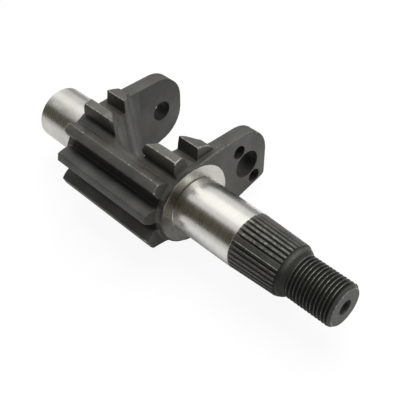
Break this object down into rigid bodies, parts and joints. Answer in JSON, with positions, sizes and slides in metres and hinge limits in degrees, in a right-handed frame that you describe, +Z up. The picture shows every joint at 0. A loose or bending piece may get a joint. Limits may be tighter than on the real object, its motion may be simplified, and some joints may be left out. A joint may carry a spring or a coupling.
{
  "type": "steering box sector shaft",
  "caption": "Steel sector shaft with a short toothed sector, two bored ears, two journals, a serrated taper and a threaded end.",
  "frame": {"origin": "centre of the threaded end face, on the shaft axis", "axes": "+X along the shaft towards the threaded end, +Z up as the shaft lies on its ears"},
  "size_m": [0.2155, 0.0886, 0.0604],
  "materials": {
    "shaft_steel": "dark phosphate coat, with ground bright journals and thrust faces"
  },
  "bodies": {
    "root": {"sector_shaft": "shaft_steel"}
  },
  "joints": []
}
